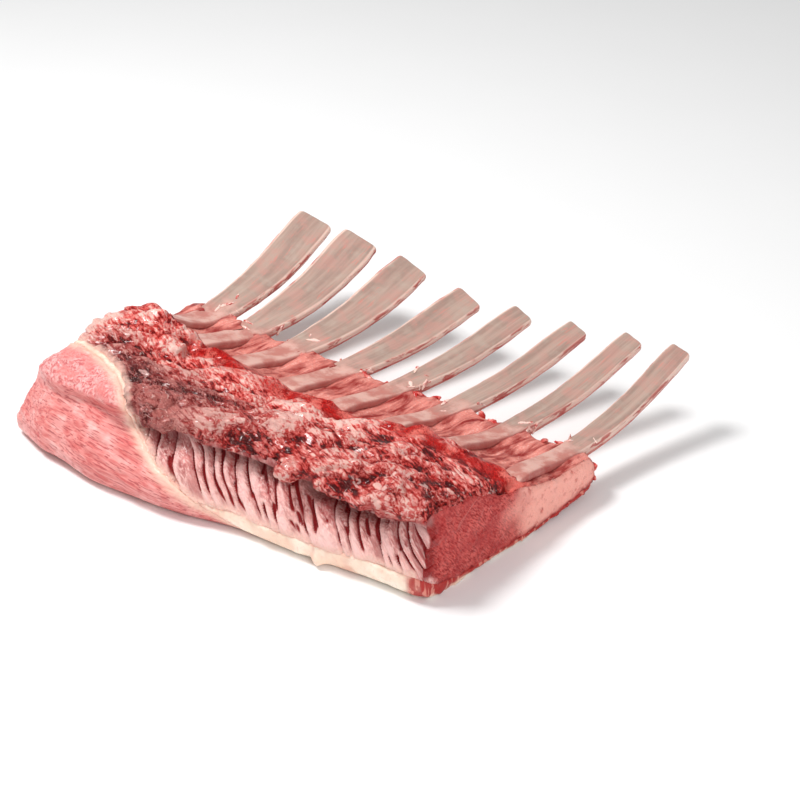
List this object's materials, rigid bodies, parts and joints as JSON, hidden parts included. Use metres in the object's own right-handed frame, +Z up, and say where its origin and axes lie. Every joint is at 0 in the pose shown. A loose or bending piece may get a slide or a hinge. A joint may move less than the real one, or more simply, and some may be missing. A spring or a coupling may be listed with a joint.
{
  "type": "raw rack of lamb",
  "caption": "Raw rack of lamb lying fat side down: a long loin with a torn, lumpy top, a fat layer, a pink shoulder muscle round one end, and scraped rib bones.",
  "frame": {"origin": "centre of the footprint of the whole rack, on the surface it lies on", "axes": "+X along the loin from the shoulder end to the loin end, +Y from the face where the backbone was removed towards the rib tips, +Z up, away from the fat side"},
  "size_m": [0.2348, 0.1918, 0.0485],
  "materials": {
    "red_meat": "moist",
    "pink_meat": "moist",
    "fat": "waxy",
    "bone": "scraped, satin"
  },
  "bodies": {
    "root": {"loin_meat": "red_meat", "shoulder_muscle": "pink_meat", "fat_layer": "fat", "rib_1": "bone", "rib_2": "bone", "rib_3": "bone", "rib_4": "bone", "rib_5": "bone", "rib_6": "bone", "rib_7": "bone", "rib_8": "bone"}
  },
  "joints": []
}
